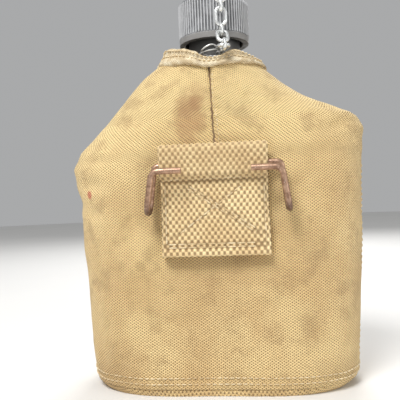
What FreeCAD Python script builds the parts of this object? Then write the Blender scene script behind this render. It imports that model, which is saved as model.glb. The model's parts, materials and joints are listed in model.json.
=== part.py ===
import FreeCAD, Part
import math
import os

import Sketcher

# A one-quart field canteen in a canvas cover with a belt hook.
# Frame: millimetres, +Z up, origin on the ground under the neck, +Y towards the flaps, hook on -Y.

Vector = FreeCAD.Vector
Rotation = FreeCAD.Rotation
Placement = FreeCAD.Placement

UP = Vector(0, 0, 1)
ALONG_X = Vector(1, 0, 0)
FAR = 300.0            # larger than the whole object, for cutting blocks
OUTLINE_STEPS = 32     # points round one kidney outline

SIZES = {
    # cloth layers, measured outwards from the cover's outer face (negative is inside)
    "cover_skin": 1.2,
    "lining_outer": -1.5,
    "lining_inner": -3.5,
    "metal_outer": -3.9,
    "metal_wall": 1.2,
    "flap_inner": 1.0,
    "flap_skin": 1.2,
    # cover heights and dividing planes
    "gusset_height": 5.0,
    "cloth_gap": 0.3,
    "side_seam": 4.0,
    "front_edge": 128.0,
    "front_binding": 3.4,
    "lining_top": 171.0,
    "cover_top": 179.0,
    "fold_plane": 16.0,
    "fold_gap": 0.6,
    "flap_bottom": 92.0,
    "flap_split": 1.0,
    # the fold line of a flap: its slope, and its distance from the origin along the slope's normal
    "fold_slope": 39.9,
    "fold_reach": 160.0,
    # collar round the neck
    "collar_base": 179.3,
    "collar_height": 13.4,
    "collar_skin": 1.8,
    "collar_dip": 183.2,
    "collar_dip_left": 9.0,
    "collar_dip_right": 16.0,
    "collar_back_gap": 2.0,
    "collar_flap_gap": 4.0,
    # canteen
    "weld_height": 92.0,
    "weld_gap": 0.2,
    "neck_base": 176.35,
    "neck_radius": 15.4,
    "neck_bore": 12.6,
    "neck_length": 42.65,
    "neck_lip": 16.2,
    "lip_height": 1.6,
    "flange_radius": 19.0,
    "flange_height": 1.5,
    "thread_radius": 16.5,
    "thread_pitch": 3.2,
    "thread_start": 26.0,
    "thread_run": 12.0,
    "thread_width": 1.3,
    # cap
    "cap_rim": 198.5,
    "cap_height": 26.5,
    "cap_radius": 20.2,
    "cap_rib": 0.8,
    "cap_rib_width": 1.15,
    "cap_rib_count": 72,
    "cap_band": 3.4,
    "cap_band_radius": 20.7,
    "cap_round": 3.6,
    "cap_bore": 17.3,
    "cap_top": 3.4,
    "gasket_inner": 11.5,
    "gasket_outer": 16.9,
    "gasket_height": 2.0,
    # cap eye and its washer
    "eye_shank": 1.2,
    "eye_play": 0.15,
    "eye_ring": 2.6,
    "eye_wire": 0.8,
    "eye_lift": 3.9,
    "eye_head": 2.3,
    "eye_head_height": 0.6,
    "washer_radius": 5.5,
    "washer_height": 0.6,
    # chain
    "chain_wire": 1.9,
    "loop_width": 5.6,
    "loop_length": 9.5,
    "small_width": 4.6,
    "small_length": 5.6,
    "link_play": 0.15,
    "chain_bearing": 13.0,
    # tie wire at the neck
    "tie_wire": 0.9,
    "tie_ring": 16.4,
    "tie_height": 188.4,
    "tie_loop": 0.8,
    # webbing hanger
    "web_width": 57.0,
    "web_bottom": 76.0,
    "web_top": 136.0,
    "web_skin": 2.2,
    "web_back": -40.3,
    "tunnel_radius": 1.95,
    "tunnel_low": 118.0,
    # hook
    "hook_wire": 3.3,
    "hook_bar": 124.5,
    "hook_centre": 2.0,
    "hook_tip": 18.0,
    "hook_tip_height": 121.5,
    "hook_shoulder": 33.4,
    "hook_leg": 36.6,
    "hook_bottom": 100.3,
    "hook_depth": 9.0,
    "hook_bend": 4.2,
    "hook_rear_bend": 2.6,
    # snaps
    "snap_across": 42.0,
    "snap_height": 104.0,
    "stud_post": 1.3,
    "stud_head": 1.7,
    "stud_flange": 3.0,
    "stud_flange_height": 0.4,
    "stud_length": 4.2,
    "stud_tail": 1.7,
    "stud_washer_radius": 4.6,
    "stud_washer_height": 0.45,
    "socket_hole": 3.6,
    "socket_tube": 4.1,
    "socket_radius": 6.8,
    "socket_height": 1.1,
    "plate_height": 0.45,
}

# Outer face of the cover: height, half width, depth to the front, depth to the back,
# hollow of the back, squareness of the outline.
COVER_STATIONS = (
    (0.0, 70.0, 33.0, 36.0, 3.0, 2.6),
    (3.0, 74.0, 37.0, 40.0, 4.0, 2.6),
    (12.0, 76.5, 40.0, 43.0, 5.0, 2.6),
    (26.0, 77.9, 41.2, 43.6, 5.0, 2.6),
    (40.0, 79.0, 42.0, 44.0, 5.0, 2.6),
    (57.0, 80.3, 42.3, 44.1, 5.0, 2.6),
    (75.0, 81.6, 42.5, 44.1, 5.0, 2.6),
    (90.0, 82.9, 42.6, 44.1, 5.0, 2.6),
    (105.0, 84.0, 42.5, 44.0, 5.0, 2.6),
    (125.0, 84.0, 41.0, 43.0, 5.0, 2.5),
    (140.0, 79.0, 38.5, 41.0, 4.5, 2.4),
    (152.0, 69.0, 35.5, 38.0, 3.5, 2.3),
    (164.0, 55.0, 32.0, 34.5, 2.0, 2.2),
    (172.0, 44.5, 29.5, 31.5, 1.0, 2.1),
    (179.0, 35.5, 27.0, 28.5, 0.0, 2.0),
)
# The canteen's own shoulder closes to the neck above this many cover stations.
SHARED_STATIONS = 12
SHOULDER_STATIONS = (
    (163.0, 54.0, 31.5, 34.0, 2.0, 2.2),
    (171.0, 39.0, 26.5, 28.0, 0.5, 2.1),
    (176.5, 23.5, 22.5, 22.8, 0.0, 2.0),
)
# Collar: rise above its base, then half width, front and back depth of its outer face.
COLLAR_STATIONS = (
    (0.0, 35.2, 27.2, 28.6),
    (1.8, 36.4, 28.2, 29.8),
    (3.8, 34.4, 26.6, 28.2),
    (8.0, 32.2, 25.2, 26.8),
    (13.4, 32.8, 25.6, 27.2),
)
# The chain at rest in its own plane: each link points this many degrees below level, outwards.
LINK_FALLS = (0.0, 14.0, 90.0, 90.0, 50.0, 184.0)

document = FreeCAD.newDocument("canteen")
sheet = document.addObject("Spreadsheet::Sheet", "Dims")
made = []


def fill_sheet():
    """Put every driving size in the sheet under its own alias."""
    for row, (alias, value) in enumerate(SIZES.items(), start=1):
        sheet.set("A%d" % row, alias)
        sheet.set("B%d" % row, str(value))
        sheet.setAlias("B%d" % row, alias)
    document.recompute()


def size(alias):
    """A driving size, read from the sheet."""
    return float(getattr(sheet, alias))


# ---------------------------------------------------------------- helpers


def bind(target, path, text):
    """Bind a property to sheet cells; @ stands for the sheet's name."""
    target.setExpression(path, text.replace("@", "Dims."))


def add_feature(label, shape):
    """A sub-part whose shape is worked out from the sheet's sizes."""
    feature = document.addObject("Part::Feature", label)
    feature.Label = label
    feature.Shape = shape
    feature.Placement = Placement()
    made.append(feature)
    return feature


def new_body(label):
    body = document.addObject("PartDesign::Body", label)
    body.Label = label
    made.append(body)
    return body


def origin_piece(body, role):
    """One of a body's own origin planes or axes."""
    for piece in body.Origin.OriginFeatures:
        if piece.Role == role:
            return piece
    raise ValueError(role)


def outline_sketch(body, role, name, corners):
    """A closed outline of straight edges; both coordinates of each corner are bound to the sheet."""
    sketch = body.newObject("Sketcher::SketchObject", name)
    sketch.AttachmentSupport = [(origin_piece(body, role), "")]
    sketch.MapMode = "FlatFace"
    count = len(corners)
    start_points = []
    for index in range(count):
        turn = 2 * math.pi * index / count
        start_points.append(Vector(30 + 5 * math.cos(turn), 30 + 5 * math.sin(turn), 0))
    for index in range(count):
        edge = Part.LineSegment(start_points[index], start_points[(index + 1) % count])
        sketch.addGeometry(edge, False)
    for index in range(count):
        following = (index + 1) % count
        sketch.addConstraint(Sketcher.Constraint("Coincident", index, 2, following, 1))
    for index, (across, upward) in enumerate(corners):
        for kind, text, value in (
            ("DistanceX", across, start_points[index].x),
            ("DistanceY", upward, start_points[index].y),
        ):
            if text == "0":
                other = -2 if kind == "DistanceX" else -1
                sketch.addConstraint(Sketcher.Constraint("PointOnObject", index, 1, other))
                continue
            number = sketch.addConstraint(Sketcher.Constraint(kind, -1, 1, index, 1, value))
            bind(sketch, "Constraints[%d]" % number, text)
    return sketch


def revolve(body, name, corners):
    """Turn an outline (radius, height) once round the body's own upright axis."""
    sketch = outline_sketch(body, "XZ_Plane", name + "_outline", corners)
    feature = body.newObject("PartDesign::Revolution", name)
    feature.Profile = sketch
    feature.ReferenceAxis = (sketch, ["V_Axis"])
    feature.Angle = 360
    document.recompute()
    return feature


def ring_corners(inner, outer, low, high):
    """A square ring section for revolve."""
    return [(inner, low), (outer, low), (outer, high), (inner, high)]


def round_edges(body, base, name, radius, wanted):
    """Fillet the circular edges of base that wanted(edge) picks."""
    names = []
    for index, edge in enumerate(base.Shape.Edges, start=1):
        if wanted(edge):
            names.append("Edge%d" % index)
    fillet = body.newObject("PartDesign::Fillet", name)
    fillet.Base = (base, names)
    bind(fillet, "Radius", radius)
    document.recompute()
    return fillet


def circle_at(radius, height):
    """A test for a circular edge of one radius at one height."""

    def wanted(edge):
        curve = edge.Curve
        if not isinstance(curve, Part.Circle):
            return False
        return abs(curve.Radius - radius) < 0.01 and abs(curve.Center.z - height) < 0.01

    return wanted


def block(low, high):
    """A box between two corners."""
    span = Vector(*high) - Vector(*low)
    return Part.makeBox(span.x, span.y, span.z, Vector(*low))


def rounded_path(corners, radii):
    """Straight runs through the corners, joined by tangent arcs."""
    edges = []
    current = corners[0]
    for index in range(1, len(corners) - 1):
        corner = corners[index]
        inward = (corners[index - 1] - corner).normalize()
        outward = (corners[index + 1] - corner).normalize()
        half_turn = (math.pi - inward.getAngle(outward)) / 2
        radius = radii[index - 1]
        reach = radius * math.tan(half_turn)
        first = corner + inward * reach
        last = corner + outward * reach
        towards_centre = (inward + outward).normalize()
        centre = corner + towards_centre * (radius / math.cos(half_turn))
        middle = centre - towards_centre * radius
        if current.distanceToPoint(first) > 0.001:
            edges.append(Part.LineSegment(current, first).toShape())
        edges.append(Part.Arc(first, middle, last).toShape())
        current = last
    if current.distanceToPoint(corners[-1]) > 0.001:
        edges.append(Part.LineSegment(current, corners[-1]).toShape())
    return Part.Wire(edges)


def wire_tube(path, radius):
    """A round wire along an open path."""
    start = path.Edges[0].valueAt(path.Edges[0].FirstParameter)
    heading = path.Edges[0].tangentAt(path.Edges[0].FirstParameter)
    section = Part.Wire([Part.makeCircle(radius, start, heading)])
    return path.makePipeShell([section], True, True)


def round_loop(width, length, wire):
    """A closed wire loop in the XZ plane: its top crown passes through the origin, it hangs down."""
    bend = width / 2
    straight = length - width
    upper = Vector(0, 0, -bend)
    lower = Vector(0, 0, -bend - straight)
    along_y = Vector(0, 1, 0)
    loop = Part.makeTorus(bend, wire / 2, upper, along_y)
    loop = loop.common(block((-bend * 2, -wire, -bend), (bend * 2, wire, wire)))
    base = Part.makeTorus(bend, wire / 2, lower, along_y)
    base = base.common(block((-bend * 2, -wire, lower.z - bend * 2), (bend * 2, wire, lower.z)))
    pieces = [base]
    for side in (-bend, bend):
        pieces.append(Part.makeCylinder(wire / 2, straight, Vector(side, 0, lower.z)))
    return loop.multiFuse(pieces).removeSplitter()


# ---------------------------------------------------------------- kidney shapes


def signed_power(value, power):
    return math.copysign(abs(value) ** power, value)


def hollow_of_back(share):
    """How much of the back's hollow is felt at this share of the half width."""
    reach = 0.8
    if abs(share) >= reach:
        return 0.0
    return math.cos(math.pi * share / (2 * reach)) ** 2


def kidney_wire(station, grow):
    """The closed outline at one height, grown outwards."""
    height, half_width, front, back, hollow, squareness = station
    points = []
    for step in range(OUTLINE_STEPS):
        turn = 2 * math.pi * step / OUTLINE_STEPS
        across = signed_power(math.cos(turn), 2 / squareness)
        deep = signed_power(math.sin(turn), 2 / squareness)
        if deep >= 0:
            y = (front + grow) * deep
        else:
            y = (back + grow) * deep + hollow * hollow_of_back(across) * abs(deep)
        points.append(Vector((half_width + grow) * across, y, height))
    curve = Part.BSplineCurve()
    curve.interpolate(Points=points, PeriodicFlag=True)
    return Part.Wire([curve.toShape()])


def kidney_solid(stations, grow, past_top=0.0):
    """A solid through the stations; an inner face (grow < 0) also starts higher at the bottom."""
    sole = 20.0
    wires = []
    for station in stations:
        height = station[0] - grow * max(0.0, 1 - station[0] / sole)
        wires.append(kidney_wire((height,) + station[1:], grow))
    if past_top:
        last = stations[-1]
        wires.append(kidney_wire((last[0] + past_top,) + last[1:], grow))
    return Part.makeLoft(wires, True, False)


def cloth_layer(outer, inner):
    """A layer of the cover between two distances from its outer face, open at the neck."""
    past_top = 2.0
    outside = kidney_solid(COVER_STATIONS, outer, past_top)
    inside = kidney_solid(COVER_STATIONS, inner, past_top)
    layer = outside.cut(inside)
    return layer.common(half_space("z", None, size("cover_top")))


def front_point(across, height):
    """The cover's outer face on the flap side, with its outward direction."""
    for lower, upper in zip(COVER_STATIONS, COVER_STATIONS[1:]):
        if lower[0] <= height <= upper[0]:
            share = (height - lower[0]) / (upper[0] - lower[0])
            mixed = [a + (b - a) * share for a, b in zip(lower, upper)]
    half_width, front, squareness = mixed[1], mixed[2], mixed[5]
    y = front * (1 - (across / half_width) ** squareness) ** (1 / squareness)
    slope_x = across ** (squareness - 1) / half_width ** squareness
    slope_y = y ** (squareness - 1) / front ** squareness
    return Vector(across, y, height), Vector(slope_x, slope_y, 0).normalize()


def snap_placement(side):
    """Where a snap stands: its own Z axis points out of the cover."""
    point, outward = front_point(size("snap_across"), size("snap_height"))
    point.x *= side
    outward.x *= side
    return Placement(point, Rotation(UP, outward))


def snap_cylinder(side, radius):
    """A cutting pin along a snap's axis."""
    reach = 8.0
    pin = Part.makeCylinder(radius, 2 * reach, Vector(0, 0, -reach))
    pin.Placement = snap_placement(side)
    return pin


# ---------------------------------------------------------------- canteen


def canteen_body(grow):
    stations = COVER_STATIONS[:SHARED_STATIONS] + SHOULDER_STATIONS
    return kidney_solid(stations, grow)


def make_canteen_shells():
    """Two pressed shells that meet at the weld; the upper one has the neck hole."""
    outside = canteen_body(size("metal_outer"))
    inside = canteen_body(size("metal_outer") - size("metal_wall"))
    wall = outside.cut(inside)
    weld = size("weld_height")
    gap = size("weld_gap") / 2
    lower = wall.common(block((-FAR, -FAR, -1), (FAR, FAR, weld - gap)))
    upper = wall.common(block((-FAR, -FAR, weld + gap), (FAR, FAR, FAR)))
    hole = Part.makeCylinder(size("neck_bore"), 40, Vector(0, 0, size("neck_base") - 20))
    add_feature("canteen_lower_shell", lower)
    add_feature("canteen_upper_shell", upper.cut(hole))


def make_neck():
    """The threaded spout with a flange below and a rolled lip on top."""
    body = new_body("canteen_neck")
    corners = [
        ("@neck_bore", "0"),
        ("@flange_radius", "0"),
        ("@flange_radius", "@flange_height"),
        ("@neck_radius", "@flange_height + 1"),
        ("@neck_radius", "@neck_length - @lip_height"),
        ("@neck_lip", "@neck_length - @lip_height"),
        ("@neck_lip", "@neck_length"),
        ("@neck_bore", "@neck_length"),
    ]
    revolve(body, "spout", corners)
    thread = outline_sketch(body, "XZ_Plane", "thread_outline", [
        ("@neck_radius - 0.4", "@thread_start"),
        ("@neck_radius - 0.4", "@thread_start + @thread_width * 1.6"),
        ("@thread_radius", "@thread_start + @thread_width * 1.1"),
        ("@thread_radius", "@thread_start + @thread_width * 0.5"),
    ])
    helix = body.newObject("PartDesign::AdditiveHelix", "thread")
    helix.Profile = thread
    helix.ReferenceAxis = (thread, ["V_Axis"])
    helix.Mode = 0
    bind(helix, "Pitch", "@thread_pitch")
    bind(helix, "Height", "@thread_run")
    document.recompute()
    bind(body, "Placement.Base.z", "@neck_base + 0.2")


# ---------------------------------------------------------------- cap


def make_cap_shell():
    """The ribbed plastic cap: a plain band at the rim, upright ribs above it, a rounded top."""
    body = new_body("cap_shell")
    corners = [
        ("@cap_bore", "0"),
        ("@cap_band_radius", "0"),
        ("@cap_band_radius", "@cap_band"),
        ("@cap_radius", "@cap_band + 0.5"),
        ("@cap_radius", "@cap_height"),
        ("@eye_shank + @eye_play", "@cap_height"),
        ("@eye_shank + @eye_play", "@cap_height - @cap_top"),
        ("@cap_bore", "@cap_height - @cap_top"),
    ]
    turned = revolve(body, "moulding", corners)
    top_edge = circle_at(size("cap_radius"), size("cap_height"))
    round_edges(body, turned, "shoulder", "@cap_round", top_edge)
    rib = outline_sketch(body, "XY_Plane", "rib_outline", [
        ("@cap_radius - 0.3", "-@cap_rib_width / 2"),
        ("@cap_radius + @cap_rib", "-@cap_rib_width / 4"),
        ("@cap_radius + @cap_rib", "@cap_rib_width / 4"),
        ("@cap_radius - 0.3", "@cap_rib_width / 2"),
    ])
    rib.AttachmentOffset = Placement(Vector(0, 0, size("cap_band") + 0.3), Rotation())
    bind(rib, "AttachmentOffset.Base.z", "@cap_band + 0.3")
    pad = body.newObject("PartDesign::Pad", "rib")
    pad.Profile = rib
    bind(pad, "Length", "@cap_height - @cap_band - @cap_round - 0.1")
    document.recompute()
    pattern = body.newObject("PartDesign::PolarPattern", "ribs")
    pattern.Originals = [pad]
    pattern.Axis = (origin_piece(body, "Z_Axis"), [""])
    pattern.Angle = 360
    bind(pattern, "Occurrences", "@cap_rib_count")
    body.Tip = pattern
    document.recompute()
    bind(body, "Placement.Base.z", "@cap_rim")


def make_cap_gasket():
    body = new_body("cap_gasket")
    revolve(body, "ring", ring_corners("@gasket_inner", "@gasket_outer", "0", "@gasket_height"))
    bind(body, "Placement.Base.z", "@cap_rim + @cap_height - @cap_top - @gasket_height - 0.02")


def cap_roof():
    """Heights of the cap's outer and inner roof."""
    outer = size("cap_rim") + size("cap_height")
    return outer, outer - size("cap_top")


def make_cap_eye():
    """A wire ring on a shank that passes through the cap and is spread below the washer."""
    outer, inner = cap_roof()
    ring_centre = outer + size("eye_lift")
    ring = Part.makeTorus(size("eye_ring"), size("eye_wire"), Vector(0, 0, ring_centre), chain_normal())
    head_top = inner - size("washer_height") - 0.1
    low = head_top - size("eye_head_height")
    shank = Part.makeCylinder(size("eye_shank"), ring_centre - size("eye_ring") + 0.4 - low, Vector(0, 0, low))
    head = Part.makeCylinder(size("eye_head"), size("eye_head_height"), Vector(0, 0, low))
    add_feature("cap_eye", ring.multiFuse([shank, head]).removeSplitter())


def make_eye_washer():
    body = new_body("cap_eye_washer")
    corners = ring_corners("@eye_shank + 0.02", "@washer_radius", "0", "@washer_height")
    revolve(body, "disc", corners)
    bind(body, "Placement.Base.z", "@cap_rim + @cap_height - @cap_top - @washer_height - 0.05")


# ---------------------------------------------------------------- chain


def chain_heading():
    """The level direction in which the chain leaves the eye."""
    bearing = math.radians(size("chain_bearing"))
    return Vector(math.sin(bearing), -math.cos(bearing), 0)


def chain_normal():
    """The direction of every pin line of the chain, across its hanging plane."""
    return chain_heading().cross(UP).normalize()


def link_pitch():
    """From one top bar to the next, along a straight chain."""
    return size("loop_length") + size("small_length") - size("chain_wire") - size("link_play")


def link_starts():
    """Each link's top bar centre and its direction, at rest."""
    outer, _ = cap_roof()
    wire = size("chain_wire")
    slack = size("eye_ring") - size("eye_wire") - wire / 2 - size("link_play")
    point = Vector(0, 0, outer + size("eye_lift")) + chain_heading() * slack
    starts = []
    for fall in LINK_FALLS:
        angle = math.radians(fall)
        heading = chain_heading() * math.cos(angle) - UP * math.sin(angle)
        starts.append((Vector(point), heading))
        point = point + heading * link_pitch()
    return starts


def make_chain():
    """Jack chain: each link is a large loop with a small loop at right angles below it."""
    wire = size("chain_wire")
    large = round_loop(size("loop_width"), size("loop_length"), wire)
    small = round_loop(size("small_width"), size("small_length"), wire)
    small.rotate(Vector(), UP, 90)
    small.translate(Vector(0, 0, -size("loop_length")))
    link = large.fuse(small).removeSplitter()
    for number, (point, heading) in enumerate(link_starts(), start=1):
        across = chain_normal()
        upward = heading * -1
        facing = upward.cross(across)
        turned = FreeCAD.Matrix(
            across.x, facing.x, upward.x, point.x,
            across.y, facing.y, upward.y, point.y,
            across.z, facing.z, upward.z, point.z,
            0, 0, 0, 1,
        )
        shape = link.transformed(turned, True)
        add_feature("chain_link_%d" % number, shape)


def make_tie_wire():
    """Thin wire round the neck, with a small hitch that faces the end of the chain."""
    height = size("tie_height")
    thin = size("tie_wire") / 2
    ring = Part.makeTorus(size("tie_ring"), thin, Vector(0, 0, height), UP)
    centre = chain_heading() * (size("tie_ring") + size("tie_loop"))
    loop = Part.makeTorus(size("tie_loop"), thin, Vector(centre.x, centre.y, height), UP)
    add_feature("neck_tie_wire", ring.fuse(loop).removeSplitter())


# ---------------------------------------------------------------- cover


def half_space(axis, low, high):
    """A huge block limited along one axis."""
    lows = [-FAR, -FAR, -FAR]
    highs = [FAR, FAR, FAR]
    index = "xyz".index(axis)
    if low is not None:
        lows[index] = low
    if high is not None:
        highs[index] = high
    return block(lows, highs)


def make_cover_panels():
    """Back panel, front panel and bottom gusset, cut from one layer of canvas."""
    layer = cloth_layer(0.0, -size("cover_skin"))
    gap = size("cloth_gap")
    gusset_top = size("gusset_height")
    seam = size("side_seam")
    edge = size("front_edge")
    above_gusset = layer.common(half_space("z", gusset_top + gap, None))
    gusset = layer.common(half_space("z", None, gusset_top))
    over = edge + size("front_binding") + 2 * gap
    back = above_gusset.common(half_space("y", None, size("fold_plane")))
    back = back.cut(block((-FAR, seam, -1), (FAR, FAR, over)))
    front = above_gusset.common(block((-FAR, seam + gap, 0), (FAR, FAR, edge)))
    for side in (-1, 1):
        front = front.cut(snap_cylinder(side, size("stud_post") + 0.1))
    add_feature("cover_back_panel", back)
    add_feature("cover_front_panel", front)
    add_feature("cover_bottom_gusset", gusset)


def make_front_binding():
    """The bound top edge of the front panel."""
    layer = cloth_layer(0.35, -1.4)
    gap = size("cloth_gap")
    low = size("front_edge") + gap
    band = block((-FAR, size("side_seam") + gap, low), (FAR, FAR, low + size("front_binding") - gap))
    add_feature("front_edge_binding", layer.common(band))


def make_linings():
    """Felt inside the cover, back and front."""
    layer = cloth_layer(size("lining_outer"), size("lining_inner"))
    gap = size("cloth_gap")
    seam = size("side_seam")
    back = layer.common(block((-FAR, -FAR, 8), (FAR, seam, size("lining_top"))))
    front = layer.common(block((-FAR, seam + gap, 8), (FAR, FAR, size("front_edge") - 1)))
    for side in (-1, 1):
        front = front.cut(snap_cylinder(side, size("stud_washer_radius") + 0.4))
    add_feature("lining_back", back)
    add_feature("lining_front", front)


def flap_outline():
    """A right flap seen from the front: square at the middle, rounded at the free corner."""
    split = size("flap_split")
    low = size("flap_bottom")
    top = size("cover_top")
    corner_x = 64.0
    rounding = 24.0
    side_x = corner_x + rounding
    side_z = low + rounding
    slant = rounding * math.sqrt(0.5)
    middle = Vector(corner_x + slant, 0, side_z - slant)
    edges = [
        Part.LineSegment(Vector(split, 0, top), Vector(split, 0, low)).toShape(),
        Part.LineSegment(Vector(split, 0, low), Vector(corner_x, 0, low)).toShape(),
        Part.Arc(Vector(corner_x, 0, low), middle, Vector(side_x, 0, side_z)).toShape(),
        Part.LineSegment(Vector(side_x, 0, side_z), Vector(side_x, 0, top)).toShape(),
        Part.LineSegment(Vector(side_x, 0, top), Vector(split, 0, top)).toShape(),
    ]
    return Part.Face(Part.Wire(edges))


def mirrored(shape):
    return shape.mirror(Vector(), ALONG_X)


def make_flaps():
    """Two shoulder flaps that lie over the front panel."""
    inner = size("flap_inner")
    layer = cloth_layer(inner + size("flap_skin"), inner)
    outline = flap_outline()
    outline.translate(Vector(0, size("fold_plane") + size("fold_gap"), 0))
    right = layer.common(outline.extrude(Vector(0, FAR, 0)))
    right = right.cut(snap_cylinder(1, size("socket_tube") + 0.1))
    add_feature("flap_right", right)
    add_feature("flap_left", mirrored(right))


def collar_wire(station, grow):
    rise, half_width, front, back = station
    height = size("collar_base") + rise
    return kidney_wire((height, half_width, front, back, 0.0, 2.0), grow)


def make_collars():
    """The rolled collar: a fixed part behind, and one part on each flap."""
    skin = size("collar_skin")
    outer_wires = [collar_wire(station, 0.0) for station in COLLAR_STATIONS]
    inner_stations = list(COLLAR_STATIONS)
    inner_stations[1] = (1.8, 35.0, 27.0, 28.4)
    inner_wires = [collar_wire(station, -skin) for station in inner_stations]
    outside = Part.makeLoft(outer_wires, True, False)
    inside = Part.makeLoft(inner_wires, True, False)
    ring = outside.cut(inside)
    fold = size("fold_plane")
    back = ring.common(half_space("y", None, fold - size("collar_back_gap")))
    dip = block(
        (-size("collar_dip_left"), -FAR, size("collar_dip")),
        (size("collar_dip_right"), 0, FAR),
    )
    add_feature("collar_back", back.cut(dip))
    split = size("flap_split")
    right = ring.common(block((split, fold + size("collar_flap_gap"), 0), (FAR, FAR, FAR)))
    add_feature("collar_right", right)
    add_feature("collar_left", mirrored(right))


# ---------------------------------------------------------------- snaps


def side_name(side):
    return "right" if side > 0 else "left"


def make_snaps():
    """Stud, washer, socket and plate on each side, all turned on the snap's axis."""
    for side in (-1, 1):
        name = side_name(side)
        stud = new_body("stud_" + name)
        revolve(stud, "post", [
            ("0", "-@cover_skin - @stud_tail"),
            ("@stud_post", "-@cover_skin - @stud_tail"),
            ("@stud_post", "0.15"),
            ("@stud_flange", "0.15"),
            ("@stud_flange", "0.15 + @stud_flange_height"),
            ("@stud_post", "@stud_flange_height + 0.35"),
            ("@stud_post - 0.2", "@stud_length - 1.3"),
            ("@stud_head", "@stud_length - 0.9"),
            ("@stud_head", "@stud_length - 0.3"),
            ("@stud_head - 0.5", "@stud_length"),
            ("0", "@stud_length"),
        ])
        washer = new_body("stud_washer_" + name)
        revolve(washer, "disc", ring_corners(
            "@stud_post + 0.03", "@stud_washer_radius",
            "-@cover_skin - 0.25 - @stud_washer_height", "-@cover_skin - 0.25"))
        socket = new_body("socket_" + name)
        top = "@flap_inner + @flap_skin"
        revolve(socket, "ring", [
            ("@socket_hole", "@flap_inner - 0.5"),
            ("@socket_tube", "@flap_inner - 0.5"),
            ("@socket_tube", top + " + 0.25"),
            ("@socket_radius", top + " + 0.25"),
            ("@socket_radius - 0.3", top + " + 0.7"),
            ("@socket_tube + 0.4", top + " + @socket_height"),
            ("@socket_hole", top + " + @socket_height"),
        ])
        plate = new_body("socket_plate_" + name)
        revolve(plate, "disc", ring_corners(
            "@socket_tube + 0.03", "@socket_radius - 0.4",
            "@flap_inner - 0.3 - @plate_height", "@flap_inner - 0.3"))
        for body in (stud, washer, socket, plate):
            body.Placement = snap_placement(side)


# ---------------------------------------------------------------- hanger


def make_webbing():
    """A strip of webbing folded over at the top; the hook's bar lies in the fold."""
    back = size("web_back")
    skin = size("web_skin")
    bore = size("tunnel_radius")
    half = size("web_width") / 2
    bar_y = back - skin - bore
    bar_z = size("hook_bar")
    low_front = back - 2 * skin
    fold_front = bar_y - bore - skin
    top = size("web_top")
    corner = 3.0
    corners = [
        Vector(-half, back, size("web_bottom")),
        Vector(-half, low_front, size("web_bottom")),
        Vector(-half, low_front, size("tunnel_low") - 4),
        Vector(-half, fold_front, size("tunnel_low") + 2),
        Vector(-half, fold_front, top - corner),
        Vector(-half, fold_front + corner, top),
        Vector(-half, back, top),
        Vector(-half, back, size("web_bottom")),
    ]
    face = Part.Face(Part.makePolygon(corners))
    strip = face.extrude(Vector(2 * half, 0, 0))
    reach = half + 1
    tunnel = Part.makeCylinder(bore, 2 * reach, Vector(-reach, bar_y, bar_z), ALONG_X)
    add_feature("hanger_webbing", strip.cut(tunnel))


def hook_corners():
    """Centre line of the hook from the left tip, round the left leg, along the bar, to the right tip."""
    rear = size("web_back") - size("web_skin") - size("tunnel_radius")
    front = rear - size("hook_depth")
    bar = size("hook_bar")
    tip_height = size("hook_tip_height")
    bottom = size("hook_bottom")
    middle = size("hook_centre")
    shoulder = size("hook_shoulder")
    leg = size("hook_leg")
    tip = size("hook_tip")
    left = [
        Vector(middle - tip, front, tip_height),
        Vector(middle - shoulder, front, tip_height),
        Vector(middle - leg, front, bottom),
        Vector(middle - leg, rear, bottom),
        Vector(middle - shoulder, rear, bar),
    ]
    right = [Vector(2 * middle - point.x, point.y, point.z) for point in reversed(left)]
    return left + right


def make_hook():
    """The double wire hook."""
    bend = size("hook_bend")
    foot = size("hook_depth") / 2 - 0.1
    side = [bend, foot, foot, size("hook_rear_bend")]
    path = rounded_path(hook_corners(), side + side[::-1])
    add_feature("hanger_hook", wire_tube(path, size("hook_wire") / 2))


# ---------------------------------------------------------------- build and export


def check_document():
    """Stop if any object failed, or any sub-part is empty or broken."""
    document.recompute()
    for item in document.Objects:
        if "Invalid" in item.State or "Error" in item.State:
            raise RuntimeError("%s failed: %s" % (item.Label, item.State))
    for item in made:
        if item.Shape.isNull() or not item.Shape.isValid():
            raise RuntimeError("%s has no valid shape" % item.Label)
        if len(item.Shape.Solids) != 1:
            raise RuntimeError("%s has %d solids" % (item.Label, len(item.Shape.Solids)))


def export_parts():
    os.makedirs("parts", exist_ok=True)
    for item in made:
        item.Shape.exportStep("parts/%s.step" % item.Label)
        print("%-22s %10.1f mm3" % (item.Label, item.Shape.Volume))


fill_sheet()
make_canteen_shells()
make_neck()
make_cap_shell()
make_cap_gasket()
make_cap_eye()
make_eye_washer()
make_chain()
make_tie_wire()
make_cover_panels()
make_front_binding()
make_linings()
make_flaps()
make_collars()
make_snaps()
make_webbing()
make_hook()
check_document()
export_parts()
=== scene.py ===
import json
import math

import bmesh
import bpy
import numpy as np
from mathutils import Matrix, Vector, noise
from mathutils.bvhtree import BVHTree

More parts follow.
